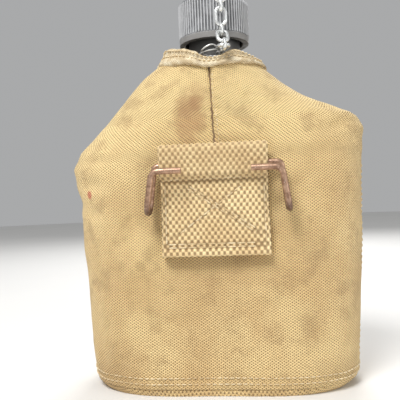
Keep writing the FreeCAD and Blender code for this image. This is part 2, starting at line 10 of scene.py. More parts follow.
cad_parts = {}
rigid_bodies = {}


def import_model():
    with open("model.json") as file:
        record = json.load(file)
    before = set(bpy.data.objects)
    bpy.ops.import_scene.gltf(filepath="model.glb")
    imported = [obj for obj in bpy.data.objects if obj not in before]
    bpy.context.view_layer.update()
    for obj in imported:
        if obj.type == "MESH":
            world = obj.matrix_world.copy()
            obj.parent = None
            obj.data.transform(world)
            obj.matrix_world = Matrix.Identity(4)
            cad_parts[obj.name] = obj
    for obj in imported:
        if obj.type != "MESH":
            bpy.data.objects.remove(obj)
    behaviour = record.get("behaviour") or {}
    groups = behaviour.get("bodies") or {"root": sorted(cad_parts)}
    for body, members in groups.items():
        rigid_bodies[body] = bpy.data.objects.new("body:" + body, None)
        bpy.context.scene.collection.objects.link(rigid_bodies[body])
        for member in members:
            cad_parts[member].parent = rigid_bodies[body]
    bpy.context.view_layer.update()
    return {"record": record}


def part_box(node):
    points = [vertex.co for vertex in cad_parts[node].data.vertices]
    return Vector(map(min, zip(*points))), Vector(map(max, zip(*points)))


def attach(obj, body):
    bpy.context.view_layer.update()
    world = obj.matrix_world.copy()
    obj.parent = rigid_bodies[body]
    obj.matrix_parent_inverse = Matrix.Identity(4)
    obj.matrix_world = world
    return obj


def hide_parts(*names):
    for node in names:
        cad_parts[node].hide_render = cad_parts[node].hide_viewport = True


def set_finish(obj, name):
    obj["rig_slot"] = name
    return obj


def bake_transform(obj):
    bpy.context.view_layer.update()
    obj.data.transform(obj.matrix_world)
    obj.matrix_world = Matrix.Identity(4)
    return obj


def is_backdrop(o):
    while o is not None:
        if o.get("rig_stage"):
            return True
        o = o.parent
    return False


# A field canteen in its canvas cover. Everything is in metres in the CAD's frame: +Z up, hook on -Y.
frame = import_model()
MM = 0.001
TURN = 2 * math.pi

# ---------------------------------------------------------------- sizes, in millimetres

# The cover as it sags on the canteen: height, half width left and right, depth front and back,
# hollow of the back, squareness of the outline.
STATIONS = np.array((
    (0.0, 72.5, 71.5, 37, 41, 3.5, 2.6),
    (3.0, 75.8, 75.0, 39.5, 42.6, 4.0, 2.6),
    (10.0, 77.6, 77.2, 40.6, 43.4, 5.0, 2.6),
    (22.0, 78.7, 78.6, 41.3, 43.7, 5.0, 2.6),
    (45.0, 80.2, 79.7, 42, 44, 5.0, 2.6),
    (72.0, 81.6, 81.3, 42.5, 44, 5.0, 2.6),
    (100.0, 83.2, 82.0, 42.5, 44, 5.0, 2.6),
    (112.0, 84.2, 82.8, 42.3, 44, 5.0, 2.55),
    (121.0, 87.0, 83.4, 41.5, 43.5, 5.0, 2.5),
    (130.0, 85.8, 83.9, 40.4, 42.3, 5.0, 2.5),
    (138.0, 81.0, 84.4, 39, 41.3, 4.6, 2.4),
    (146.0, 73.4, 84.4, 37.3, 39.5, 4.2, 2.35),
    (151.5, 67.3, 80.6, 35.7, 38.2, 3.6, 2.3),
    (155.5, 63.6, 71.0, 34.6, 37.0, 3.2, 2.3),
    (160.0, 59.8, 61.2, 33.3, 35.6, 2.4, 2.2),
    (168.0, 52.5, 46.8, 30.8, 33.2, 1.4, 2.15),
    (176.0, 44.0, 36.8, 28.4, 30.2, 0.4, 2.05),
    (182.0, 35.2, 29.4, 26.6, 28.4, 0.0, 2.0),
    (190.0, 31.4, 27.0, 25.6, 27.6, 0.0, 2.0),
))
SKIN = 1.2             # canvas thickness
SEAM_Y = 4.0           # side seam between back and front panel
FOLD_Y = 16.0          # where the shoulder flaps fold
FRONT_EDGE = 128.0     # top edge of the front panel
FLAP_LIFT = 2.2        # how far a flap's outer face stands above the front panel
FLAP_LOW = 92.0        # lower edge of a flap
FLAP_CORNER = 64.0     # how far out a flap's rounded free corner starts
FLAP_ROUNDING = 24.0   # radius of that corner
FLAP_PARTING = 0.006   # half the angle between the two flaps, in radians
GUSSET_TOP = 4.0       # where the bottom gusset is sewn on
CLOTH_TOP = 183.0      # top of the cloth, before it follows the collar's lower edge
GRID = 1.5             # spacing of the cloth's mesh
DART_FOOT = 0.4        # where the back's dart starts above the tab
DART_SLANT = 0.044     # how far it drifts to the left for each millimetre up
DART_BASE = 137.0      # height of its foot
HEM_ROWS = (7.2, 10.4)      # heights of the bottom hem's stitch rows
SEAM_ROWS = (1.9, 4.6)      # how far behind the cover's middle the side seams' stitch rows lie
WEB_ACROSS = 1.58      # width of one warp thread of the webbing
WEB_ALONG = 2.08       # height of one row of its knobs
WEB_FRONT = -42.5      # the webbing's front layer lies beyond this depth
CLOTH_UNIT = 100.0     # millimetres of cloth in one unit of its map
HEADING_STEP = 0.01    # angle either side of a place that gives the outline's heading
COVER_THREAD = {"length": 2.5, "pause": 0.8, "radius": 0.32}
# Collar edges round the neck: angle in degrees, height of the rolled lower edge, height of the upper edge.
COLLAR = np.array((
    (0, 183.2, 187.5), (45, 183, 190), (90, 182.4, 189.5), (135, 184, 191.5), (180, 185.8, 194.3),
    (205, 186.0, 195.0), (228, 184.6, 192.6), (252, 182.6, 189.2), (266, 180.3, 185.2), (276, 180.6, 185.0),
    (294, 182.6, 189.0), (312, 182.8, 188.2), (335, 183.0, 186.0), (360, 183.2, 187.5),
))


def spline_columns(table, where):
    """Catmull-Rom through a table's rows, read at many places of its first column."""
    where = np.clip(np.asarray(where, float), table[0, 0], table[-1, 0])
    keys = table[:, 0]
    index = np.clip(np.searchsorted(keys, where, side="right") - 1, 0, len(keys) - 2)
    slopes = np.gradient(table[:, 1:], keys, axis=0)
    step = (keys[index + 1] - keys[index])[:, None]
    share = ((where - keys[index]) / step[:, 0])[:, None]
    low, high = table[index, 1:], table[index + 1, 1:]
    low_slope, high_slope = slopes[index] * step, slopes[index + 1] * step
    square, cube = share ** 2, share ** 3
    return (
        (2 * cube - 3 * square + 1) * low
        + (cube - 2 * square + share) * low_slope
        + (3 * square - 2 * cube) * high
        + (cube - square) * high_slope
    )


def smooth(low, high, value):
    """Smoothly from 0 at low to 1 at high."""
    share = np.clip((value - low) / (high - low), 0, 1)
    return share * share * (3 - 2 * share)


def outline_points(turns, height, grow=0.0):
    """Points of the cover's outline at one height, at angles in radians from +X towards the front."""
    left, right, front, back, hollow, square = spline_columns(STATIONS, [height])[0]
    cosine, sine = np.cos(turns), np.sin(turns)
    across = np.sign(cosine) * np.abs(cosine) ** (2 / square)
    deep = np.sign(sine) * np.abs(sine) ** (2 / square)
    x = np.where(cosine >= 0, right + grow, left + grow) * across
    dent = np.where(np.abs(across) < 0.8, np.cos(math.pi * across / 1.6) ** 2, 0.0)
    y = np.where(deep >= 0, (front + grow) * deep, (back + grow) * deep + hollow * dent * np.abs(deep))
    return np.stack([x, y, np.full_like(x, height)], axis=1)


def outline_frame(turn, height):
    """One point of the outline, and the level direction straight out from it."""
    near = outline_points(np.array([turn - HEADING_STEP, turn, turn + HEADING_STEP]), height)
    heading = near[2] - near[0]
    return near[1], unit(np.array([heading[1], -heading[0], 0.0]))


def unit(vectors):
    """The same vectors with a length of 1."""
    return vectors / np.maximum(np.linalg.norm(vectors, axis=-1, keepdims=True), 1e-9)


def lengths_along(points):
    """How far along a line of points each one lies."""
    return np.concatenate([[0.0], np.cumsum(np.linalg.norm(np.diff(points, axis=0), axis=1))])


def even_row(points, count):
    """The same line with evenly spaced points, and the length along it of each."""
    along = lengths_along(points)
    wanted = np.linspace(0, along[-1], count)
    row = np.stack([np.interp(wanted, along, points[:, k]) for k in range(3)], axis=1)
    return row, wanted


def turn_at_depth(height, depth):
    """The angle from the side at which the outline is this far to the front."""
    values = spline_columns(STATIONS, [height])[0]
    front, square = values[2], values[5]
    return math.asin(min(0.999, (depth / front) ** (square / 2)))


def noise_at(points, scale, seed):
    """Smooth noise from -1 to 1 for many points, in millimetres per feature."""
    shift = Vector((seed * 7.3, seed * 3.1, seed * 5.7))
    return np.array([noise.noise(Vector(p) / scale + shift) for p in points])


def fold_line(points, start, end, width, depth):
    """A soft crease between two points: a narrow dip with a low ridge on each side."""
    start, end = np.array(start, float), np.array(end, float)
    run = end - start
    share = np.clip((points - start) @ run / (run @ run), 0, 1)
    away = np.linalg.norm(points - (start + share[:, None] * run), axis=1)
    fade = np.sin(math.pi * np.clip(share, 0.02, 0.98)) ** 0.6
    near = away / width
    return depth * fade * (-np.exp(-near ** 2) + 0.55 * np.exp(-((near - 1.7) ** 2) / 0.6))


# Creases of the worn cloth: start, end, width, depth.
CREASES = (
    ((84, -6, 150), (60, -36, 142), 3.0, 1.3),
    ((82, -8, 138), (52, -40, 128), 3.4, 1.0),
    ((78, -10, 153), (48, -33, 158), 2.6, 1.0),
    ((-88, -6, 122), (-60, -42, 114), 3.5, 1.3),
    ((-86, -8, 131), (-58, -40, 130), 3.0, 1.0),
    ((-83, -10, 108), (-62, -42, 96), 3.0, 0.7),
    ((-66, -20, 152), (-34, -35, 150), 4.0, 0.7),
    ((-76, -24, 8), (-60, -40, 30), 3.5, 0.9),
    ((76, -24, 8), (62, -40, 26), 3.5, 0.8),
    ((-10, -44, 12), (24, -44, 8), 4.0, 0.6),
    ((8, -33, 170), (20, -36, 158), 2.4, 0.7),
    ((-6, -33, 172), (-22, -35, 160), 2.4, 0.6),
    ((-34, -41, 72), (-52, -42, 50), 4.5, 0.8),
    ((32, -41, 72), (50, -42, 52), 4.5, 0.7),
    ((60, 26, 150), (34, 32, 158), 3.0, 0.8),
    ((-60, 26, 150), (-34, 32, 158), 3.0, 0.8),
    ((70, 24, 70), (40, 42, 62), 4.0, 0.8),
    ((-70, 24, 58), (-38, 42, 66), 4.0, 0.8),
    ((-30, 41, 20), (26, 42, 16), 4.0, 0.7),
)


def sag(points):
    """How far the cloth stands out from its even shape, in millimetres."""
    rise = 1.1 * noise_at(points, 34.0, 1) + 0.5 * noise_at(points, 13.0, 2) + 0.14 * noise_at(points, 5.0, 3)
    for start, end, width, depth in CREASES:
        rise = rise + fold_line(points, start, end, width, depth)
    x, y, z = points[:, 0], points[:, 1], points[:, 2]
    back = smooth(-8, -20, y)
    # the dart down the middle of the back, with puckers beside it
    dart = smooth(133, 138, z) * back
    beside = x - DART_FOOT + DART_SLANT * (z - DART_BASE)
    pucker = 0.4 * np.sin(TURN * z / 5.2) * np.exp(-((np.abs(beside) - 3.2) / 2.4) ** 2)
    groove = -1.6 * np.exp(-(beside / 1.2) ** 2)
    ridge = 0.5 * np.exp(-((beside - 3.0) / 1.6) ** 2)
    rise = rise + dart * (groove + ridge + pucker)
    # the side seams pull in
    seam = np.exp(-((y - SEAM_Y) / 2.2) ** 2) * smooth(133, 126, z)
    rise = rise - 1.1 * seam
    # behind the webbing the cloth lies flat
    tab = smooth(37, 31, np.abs(x)) * smooth(70, 75, z) * smooth(142, 137, z) * back
    rise = rise * (1 - 0.85 * tab) - 0.25 * tab
    # near the ground it may not hang below it
    return rise * smooth(0, 9, z)


def grid_normals(grid):
    """Unit normals of a grid of points, rows by columns."""
    across = np.gradient(grid, axis=1)
    along = np.gradient(grid, axis=0)
    return unit(np.cross(across, along))


def grid_faces(grid, closed=False):
    """The four-sided faces of a grid of points; closed joins its last column to its first."""
    rows, columns = grid.shape[:2]
    index = np.arange(rows * columns).reshape(rows, columns)
    if closed:
        index = np.concatenate([index, index[:, :1]], axis=1)
    corners = [index[:-1, :-1], index[:-1, 1:], index[1:, 1:], index[1:, :-1]]
    return np.stack(corners, axis=-1).reshape(-1, 4).tolist()


def add_object(name, data):
    """Put a new object with this data in the scene."""
    made = bpy.data.objects.new(name, data)
    bpy.context.scene.collection.objects.link(made)
    return made


def add_cloth_map(mesh, places):
    """Store the flat place on the cloth of each vertex; places are in millimetres."""
    layer = mesh.uv_layers.new(name="cloth")
    corners = np.zeros(len(mesh.loops), int)
    mesh.loops.foreach_get("vertex_index", corners)
    layer.data.foreach_set("uv", (places.reshape(-1, 2)[corners] / CLOTH_UNIT).ravel())


def mesh_from_grid(name, grid, places, closed=False):
    """A mesh from a grid of points in millimetres, with their flat places on the cloth."""
    mesh = bpy.data.meshes.new(name)
    mesh.from_pydata((grid.reshape(-1, 3) * MM).tolist(), [], grid_faces(grid, closed))
    add_cloth_map(mesh, places)
    mesh.shade_smooth()
    return add_object(name, mesh)


def thicken(piece, thickness):
    """Give a sheet its thickness, inwards, so that its outer face stays where it is."""
    solid = piece.modifiers.new("thickness", "SOLIDIFY")
    solid.thickness = thickness * MM
    solid.offset = -1.0
    solid.use_even_offset = False
    graph = bpy.context.evaluated_depsgraph_get()
    mesh = bpy.data.meshes.new_from_object(piece.evaluated_get(graph))
    piece.modifiers.clear()
    piece.data = mesh


# ---------------------------------------------------------------- cover cloth


def edge_depth(height):
    """How far to the front the back panel reaches at this height."""
    return SEAM_Y + (FOLD_Y - SEAM_Y) * float(smooth(127, 135, height))


def collar_edges(turns):
    """Heights of the collar's lower and upper edge at angles in radians."""
    degrees = np.degrees(np.asarray(turns)) % 360
    values = spline_columns(COLLAR, degrees)
    return values[:, 0], values[:, 1]


def panel_grid(heights, start_of, end_of, count, lift_of=None, to_collar=False):
    """Rows of evenly spaced points between two angles of each row, displaced by the cloth's sag."""
    rows, maps = [], []
    travelled = 0.0
    for number, height in enumerate(heights):
        start, end = start_of(height), end_of(height)
        turns = np.linspace(start, end, 900)
        points = outline_points(turns, height)
        if to_collar:
            share = float(smooth(150, heights[-1], height))
            low, _ = collar_edges(turns)
            points[:, 2] += share * (low - heights[-1])
        row, along = even_row(points, count)
        rows.append(row)
        if number:
            travelled += float(np.median(np.linalg.norm(row - rows[-2], axis=1)))
        maps.append(np.stack([along - along[-1] / 2, np.full(count, travelled)], axis=1))
    grid = np.array(rows)
    normal = grid_normals(grid)
    flat = grid.reshape(-1, 3)
    rise = sag(flat).reshape(grid.shape[:2])
    if lift_of is not None:
        rise = rise * 0.8 + lift_of(flat).reshape(grid.shape[:2])
    grid = grid + normal * rise[..., None]
    grid[..., 2] = np.maximum(grid[..., 2], 0.05)
    return grid, np.array(maps)


def ride_and_replace(piece, body, slot, *nodes):
    """The usual three facts of a piece: its body, its material slot and the CAD nodes it stands for."""
    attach(piece, body)
    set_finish(piece, slot)
    if nodes:
        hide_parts(*nodes)


def sew_panel(name, grid, cloth):
    """A panel of canvas, and the surface that its stitches lie on."""
    piece = mesh_from_grid(name, grid, cloth)
    surface = tree_of(grid)
    thicken(piece, SKIN)
    return piece, surface


def cloth_heights(low, high, spacing=GRID):
    """Row heights, closer together near the ground where the cloth turns under."""
    count = int((high - low) / spacing)
    even = np.linspace(low, high, count)
    fine = np.linspace(low, min(high, low + 8), 12) if low < 10 else even[:1]
    return np.unique(np.concatenate([fine, even[even > fine[-1]]]))


def make_back_cloth():
    """The back panel: side seam to side seam, and over the shoulders to the flaps' folds."""
    grid, cloth = panel_grid(
        cloth_heights(GUSSET_TOP, CLOTH_TOP),
        lambda height: math.pi - turn_at_depth(height, edge_depth(height)),
        lambda height: TURN + turn_at_depth(height, edge_depth(height)),
        190, to_collar=True,
    )
    piece, surface = sew_panel("cover_back_cloth", grid, cloth)
    ride_and_replace(piece, "canteen", "canvas", "cover_back_panel")
    return surface


def make_front_cloth():
    """The front panel, up to its bound edge under the flaps."""
    gap = 0.004
    grid, cloth = panel_grid(
        cloth_heights(GUSSET_TOP, FRONT_EDGE),
        lambda height: turn_at_depth(height, edge_depth(height)) + gap,
        lambda height: math.pi - turn_at_depth(height, edge_depth(height)) - gap,
        170,
    )
    piece, surface = sew_panel("cover_front_cloth", grid, cloth)
    ride_and_replace(piece, "canteen", "canvas", "cover_front_panel")
    return surface


def make_bottom_cloth():
    """The bottom gusset: from the bottom seam inwards, hollowed a little so its rim stands on the ground."""
    turns = np.linspace(0, TURN, 241)[:-1]
    rings = []
    for height in (GUSSET_TOP - 0.1, 2.6, 1.4, 0.5, 0.06):
        rings.append(outline_points(turns, height, -0.3))
    rim = rings[-1]
    for share in (0.97, 0.9, 0.8, 0.66, 0.5, 0.34, 0.18, 0.06, 0.01):
        ring = rim * [share, share, 1]
        dome = 1.6 * (1 - share) ** 0.5
        ring[:, 2] = 0.1 + dome + 0.35 * noise_at(ring, 14.0, 9) * (1 - share)
        ring[:, 2] = np.maximum(ring[:, 2], 0.06)
        rings.append(ring)
    grid = np.array(rings)[::-1]
    piece = mesh_from_grid("cover_bottom_cloth", grid, grid[..., :2], closed=True)
    thicken(piece, SKIN)
    ride_and_replace(piece, "canteen", "canvas", "cover_bottom_gusset")


def flap_side(height):
    """Half width of a flap at a height: its lower free corner is rounded."""
    drop = max(0.0, FLAP_ROUNDING - (height - FLAP_LOW))
    return FLAP_CORNER + math.sqrt(max(0.0, FLAP_ROUNDING ** 2 - drop ** 2))


def flap_start(height, side):
    """The angle at which a flap's outer edge lies: at the fold, or at the rounded corner."""
    values = spline_columns(STATIONS, [height])[0]
    half_width = values[1] if side > 0 else values[0]
    square = values[5]
    fold = turn_at_depth(height, FOLD_Y - 0.6)
    reach = min(1.0, flap_side(height) / half_width)
    return max(fold, math.acos(reach ** (square / 2)))


def flap_lift(points):
    """A flap starts flush with the back panel at its fold and lies over the front panel below it."""
    over = np.maximum(smooth(FOLD_Y, FOLD_Y + 9, points[:, 1]), smooth(134, 127, points[:, 2]))
    curl = 0.8 * smooth(FLAP_LOW + 7, FLAP_LOW, points[:, 2])
    return FLAP_LIFT * over + curl


def make_flap(side):
    """One shoulder flap's cloth, left unattached to any body; it does not bend at the fold."""
    word = "right" if side > 0 else "left"
    middle = math.pi / 2 - FLAP_PARTING

    def start_of(height):
        return flap_start(height, side) if side > 0 else math.pi - middle

    def end_of(height):
        return middle if side > 0 else math.pi - flap_start(height, side)

    heights = cloth_heights(FLAP_LOW + 0.3, CLOTH_TOP)
    grid, cloth = panel_grid(heights, start_of, end_of, 78, lift_of=flap_lift, to_collar=True)
    piece, surface = sew_panel("flap_%s_cloth" % word, grid, cloth)
    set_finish(piece, "canvas")
    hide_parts("flap_" + word)
    bend_at_fold(piece)
    return surface


def bend_at_fold(piece):
    """Bake a piece's transform into its mesh; nothing is blended across the fold."""
    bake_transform(piece)


def tree_of(grid):
    """A search tree over a grid of points, in millimetres."""
    return BVHTree.FromPolygons([Vector(p) for p in grid.reshape(-1, 3)], grid_faces(grid))


def lay_on(surface, points):
    """The nearest places on a surface, and which way it faces there."""
    places, facings = [], []
    for point in points:
        place, facing, _, _ = surface.find_nearest(Vector(point))
        places.append(place)
        facings.append(facing)
    return places, facings


# ---------------------------------------------------------------- stitching, rolls and webbing


def tube_rows(points, sides, radii):
    """Rings of points round a path; radii has one value per path point."""
    points = np.asarray(points, float)
    tangents = unit(np.gradient(points, axis=0))
    rings = []
    normal = unit(np.cross(tangents[0], [0.13, 0.31, 0.94]))
    turns = np.linspace(0, TURN, sides, endpoint=False)
    for point, tangent, radius in zip(points, tangents, radii):
        normal = unit(normal - tangent * (normal @ tangent))
        other = np.cross(tangent, normal)
        circle = np.cos(turns)[:, None] * normal + np.sin(turns)[:, None] * other
        rings.append(point + radius * circle)
    return rings


def add_tube(vertices, faces, rings):
    """Append a capped tube to lists of vertices and faces."""
    sides = len(rings[0])
    base = len(vertices)
    for ring in rings:
        vertices.extend(ring.tolist())
    for row in range(len(rings) - 1):
        for side in range(sides):
            first = base + row * sides + side
            following = base + row * sides + (side + 1) % sides
            faces.append((first, following, following + sides, first + sides))
    faces.append(tuple(base + side for side in reversed(range(sides))))
    last = base + (len(rings) - 1) * sides
    faces.append(tuple(last + side for side in range(sides)))


def mesh_from_lists(name, vertices, faces):
    """A mesh from lists in millimetres, with every face turned outwards."""
    mesh = bpy.data.meshes.new(name)
    mesh.from_pydata((np.array(vertices) * MM).tolist(), [], faces)
    shell = bmesh.new()
    shell.from_mesh(mesh)
    bmesh.ops.recalc_face_normals(shell, faces=shell.faces)
    shell.to_mesh(mesh)
    shell.free()
    mesh.shade_smooth()
    return add_object(name, mesh)


def straight_path(corners, spacing=0.5):
    """Evenly spaced points along straight runs."""
    corners = np.array(corners, float)
    length = np.linalg.norm(np.diff(corners, axis=0), axis=1).sum()
    return even_row(corners, max(2, int(length / spacing) + 1))[0]


def stitch_run(vertices, faces, path, surface, length=2.4, pause=0.75, radius=0.36, lift=0.12):
    """Thread stitches along a path laid on a surface: each dives in at both ends."""
    places, facings = lay_on(surface, path)
    places = np.array(places)
    facings = np.array(facings)
    along = lengths_along(places)
    count = int(along[-1] / (length + pause))
    profile = np.array((0.0, 0.12, 0.32, 0.5, 0.68, 0.88, 1.0))
    heights = np.array((-0.45, 0.0, 0.9, 1.0, 0.9, 0.0, -0.45))
    widths = np.array((0.5, 0.85, 1.0, 1.0, 1.0, 0.85, 0.5))
    for number in range(count):
        begin = number * (length + pause) + pause / 2
        where = begin + profile * length
        centre = np.stack([np.interp(where, along, places[:, k]) for k in range(3)], axis=1)
        facing = np.stack([np.interp(where, along, facings[:, k]) for k in range(3)], axis=1)
        centre = centre + facing * (heights * radius + lift)[:, None]
        add_tube(vertices, faces, tube_rows(centre, 7, widths * radius))


def make_stitches(name, runs, body, **sizes):
    """One piece from several stitch runs; each run is a path and the surface that it lies on."""
    vertices, faces = [], []
    for path, surface in runs:
        stitch_run(vertices, faces, path, surface, **sizes)
    piece = mesh_from_lists(name, vertices, faces)
    piece["stitch"] = True
    ride_and_replace(piece, body, "binding")


# Section of the rolled collar: outwards from the neck line, and share of its height.
COLLAR_SECTION = (
    (-1.1, 0.02), (-0.4, -0.16), (1.0, -0.22), (2.3, -0.12), (2.75, 0.08), (2.4, 0.27), (1.5, 0.36),
    (1.25, 0.46), (1.2, 0.62), (1.35, 0.76), (1.75, 0.88), (1.5, 1.0), (0.6, 1.06), (-0.5, 1.0),
    (-0.9, 0.85), (-0.8, 0.6), (-0.85, 0.35), (-1.0, 0.16),
)
COLLAR_SEWN = (7, 10)      # points of that section that carry a row of stitches
RIGHT_LEAN = 0.75          # how far the collar leans in towards +X, as a share of its height
LEFT_LEAN = 0.42          # the same towards -X


def collar_ring(turns):
    """The collar's surface at these angles: rows round the neck, columns round its section."""
    low, high = collar_edges(turns)
    rows = []
    for turn, bottom, top in zip(turns, low, high):
        foot, outward = outline_frame(turn, float(bottom))
        section = []
        inward = 0.12 + (RIGHT_LEAN if math.cos(turn) > 0 else LEFT_LEAN) * math.cos(turn) ** 2
        for out, share in COLLAR_SECTION:
            lean = -inward * max(share, 0.0) * (top - bottom)
            point = foot + outward * (out + lean)
            point[2] = bottom + share * (top - bottom)
            section.append(point)
        rows.append(section)
    grid = np.array(rows)
    flat = grid.reshape(-1, 3)
    bumps = 0.55 * noise_at(flat, 6.0, 21) + 0.25 * noise_at(flat, 2.6, 22)
    normal = grid_normals(grid)
    return grid + normal * bumps.reshape(grid.shape[:2])[..., None]


def capped_ring(name, grid):
    """A swept section as a closed solid with flat ends."""
    vertices, faces = [], []
    add_tube(vertices, faces, grid)
    piece = mesh_from_lists(name, vertices, faces)
    across, along = np.meshgrid(lengths_along(grid[0]), lengths_along(grid[:, 8]))
    add_cloth_map(piece.data, np.stack([along, across], axis=-1))
    return piece


def make_collars():
    """The rolled collar: its back part stays, and each flap carries a front part."""
    before = turn_at_depth(CLOTH_TOP, FOLD_Y - 1.5)
    after = turn_at_depth(CLOTH_TOP, FOLD_Y + 3.0)
    middle = 0.03
    parts = (
        ("collar_back_roll", math.pi - before, TURN + before, "canteen", "collar_back", 240),
        ("collar_right_roll", after, math.pi / 2 - middle, "right_flap", "collar_right", 60),
        ("collar_left_roll", math.pi / 2 + middle, math.pi - after, "left_flap", "collar_left", 60),
    )
    for name, start, end, body, node, count in parts:
        grid = collar_ring(np.linspace(start, end, count))
        piece = capped_ring(name, grid)
        ride_and_replace(piece, body, "binding", node)
        surface = tree_of(np.concatenate([grid, grid[:, :1]], axis=1)[:, ::-1])
        runs = []
        for column in COLLAR_SEWN:
            line = grid[4:-4, column]
            runs.append((even_row(line, int(len(line) * 2.4))[0], surface))
        row_name = name.replace("roll", "stitches")
        make_stitches(row_name, runs, body, length=1.7, pause=0.9, radius=0.36, lift=0.2)


def strip_path():
    """Centre line of the folded webbing: from the bottom behind, over the fold, to the bottom in front."""
    low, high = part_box("hanger_webbing")
    half_gap = 3.05        # half the space between the layers at the fold
    step_top = 120.5       # where the front layer starts to close in below the tunnel
    step_drop = 4.5
    back = high.y / MM - 1.1
    centre_y = back - half_gap
    top = high.z / MM - 4.2
    bottom = low.z / MM + 0.3
    points = [(back, bottom), (back, top)]
    for step in range(1, 12):
        turn = math.pi * step / 12
        points.append((centre_y + half_gap * math.cos(turn), top + half_gap * math.sin(turn)))
    front = centre_y - half_gap
    flat_front = back - 2.25
    points.append((front, top))
    points.append((front, step_top))
    for step in range(1, 8):
        share = step / 8
        depth = front + (flat_front - front) * float(smooth(0, 1, share))
        points.append((depth, step_top - step_drop * share))
    points.append((flat_front, 115.5))
    points.append((flat_front, bottom))
    return np.array([(0.0, y, z) for y, z in points])


def weave_height(across, along):
    """Height of a warp-faced weave, from 0 to 1: rows of knobs, each row shifted by half a knob."""
    lattice = np.cos(math.pi * across / WEB_ACROSS) * np.cos(math.pi * along / WEB_ALONG)
    return (0.5 + 0.5 * lattice) ** 1.5


# Stitch lines on the tab's front: across and height of both ends.
TAB_STITCHES = (
    ((-26.5, 116.2), (26.5, 116.8)),
    ((-25.5, 81.1), (25.8, 80.9)),
    ((-25.7, 82.9), (25.6, 82.8)),
    ((-14.5, 112.5), (23.5, 86.5)),
    ((-13.2, 113.6), (24.5, 88.0)),
    ((14.5, 113.0), (-22.5, 86.0)),
    ((-26.0, 114.0), (-26.2, 79.0)),
    ((26.2, 114.0), (26.4, 79.0)),
)


def sewn_dip(across, height):
    """The webbing is pulled down along its stitch lines."""
    dip = np.zeros_like(across)
    for (x0, z0), (x1, z1) in TAB_STITCHES:
        run = np.array([x1 - x0, z1 - z0])
        share = np.clip(((across - x0) * run[0] + (height - z0) * run[1]) / (run @ run), 0, 1)
        away = np.hypot(across - x0 - share * run[0], height - z0 - share * run[1])
        dip = np.maximum(dip, np.exp(-(away / 1.0) ** 2))
    return dip


def make_webbing():
    """The folded webbing tab, with its coarse weave as real relief, and the stitching through it."""
    low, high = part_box("hanger_webbing")
    half = (high.x - low.x) / 2 / MM
    columns = 150
    path, along = even_row(strip_path(), 300)
    tangent = unit(np.gradient(path, axis=0))
    outward = np.stack([np.zeros(len(path)), tangent[:, 2], -tangent[:, 1]], axis=1)
    across = np.linspace(-half, half, columns)
    sheets = []
    for side in (1, -1):
        grid = np.zeros((len(path), columns, 3))
        for column, x in enumerate(across):
            bulge = 0.25 * np.sin(along / 9.0 + 1.0) * abs(x / half) ** 4
            grid[:, column] = path + [x, 0, 0]
            grid[:, column, 0] += np.sign(x) * bulge
        spread, run = np.meshgrid(across, along)
        uneven = 0.5 * noise_at(np.stack([spread, run, spread * 0], axis=-1).reshape(-1, 3), 7.0, 51)
        relief = weave_height(spread + half + uneven.reshape(spread.shape), run)
        edge = smooth(0, 1.3, half - np.abs(spread))
        thickness = 0.45 + 0.95 * relief
        in_front = np.broadcast_to((path[:, 1] < WEB_FRONT)[:, None], relief.shape)
        pulled = sewn_dip(grid[..., 0], grid[..., 2]) * in_front
        hem = 0.9 * smooth(80.2, 79.2, grid[..., 2]) * in_front
        thickness = thickness + (hem - 0.35 * pulled) * (side > 0)
        thickness = thickness * (0.45 + 0.55 * edge ** 0.5)
        sunk = relief * (1 - 0.5 * pulled)
        grid += side * outward[:, None, :] * thickness[..., None]
        sheets.append(grid)
    front, rear = sheets
    loop = np.concatenate([front, rear[:, ::-1]], axis=1)
    vertices, faces = [], []
    add_tube(vertices, faces, loop)
    piece = mesh_from_lists("hanger_webbing_strip", vertices, faces)
    cloth = np.meshgrid(np.concatenate([across, across[::-1]]), along)
    add_cloth_map(piece.data, np.stack(cloth, axis=-1))
    hollow = piece.data.attributes.new("relief", "FLOAT", "POINT")
    hollow.data.foreach_set("value", np.concatenate([sunk, sunk[:, ::-1]], axis=1).ravel())
    ride_and_replace(piece, "canteen", "webbing", "hanger_webbing")
    surface = tree_of((path + outward)[:, None, :] + across[:, None] * [1, 0, 0])
    before_tab = -46.0
    runs = []
    for (x0, z0), (x1, z1) in TAB_STITCHES:
        line = straight_path([(x0, before_tab, z0), (x1, before_tab, z1)])
        runs.append((line, surface))
    make_stitches("hanger_stitches", runs, "canteen", length=4.1, pause=1.1, radius=0.42, lift=0.22)


# ---------------------------------------------------------------- seams, linings and wire


def hem_runs(start, end, surface):
    """The bottom hem's rows of stitches between two angles."""
    runs = []
    for height in HEM_ROWS:
        row = outline_points(np.linspace(start, end, 500), height)
        runs.append((even_row(row, len(row))[0], surface))
    return runs


def make_seams(back, front, flaps):
    """Stitch rows of the cover: bottom hem behind and in front, side seams, the dart and the flaps' hems."""
    runs = hem_runs(math.pi + 0.02, TURN - 0.02, back)
    for side in (-1, 1):
        for inset in SEAM_ROWS:
            path = []
            for height in np.arange(12, 126, 0.6):
                turn = turn_at_depth(height, inset) * 0.9
                turn = TURN - turn if side > 0 else math.pi + turn
                path.append(outline_points(np.array([turn]), height)[0])
            runs.append((np.array(path), back))
    make_stitches("cover_back_stitches", runs, "canteen", **COVER_THREAD)
    dart = straight_path([(2.6, -41, 137.5), (1.6, -33, 158), (0.6, -28.5, 178)])
    fine = {"length": 1.6, "pause": 1.2, "radius": 0.26, "lift": 0.0}
    make_stitches("cover_dart_stitches", [(dart, back)], "canteen", **fine)
    runs = hem_runs(0.05, math.pi - 0.05, front)
    make_stitches("cover_front_stitches", runs, "canteen", **COVER_THREAD)
    for side, surface in flaps:
        make_flap_stitches(side, surface)


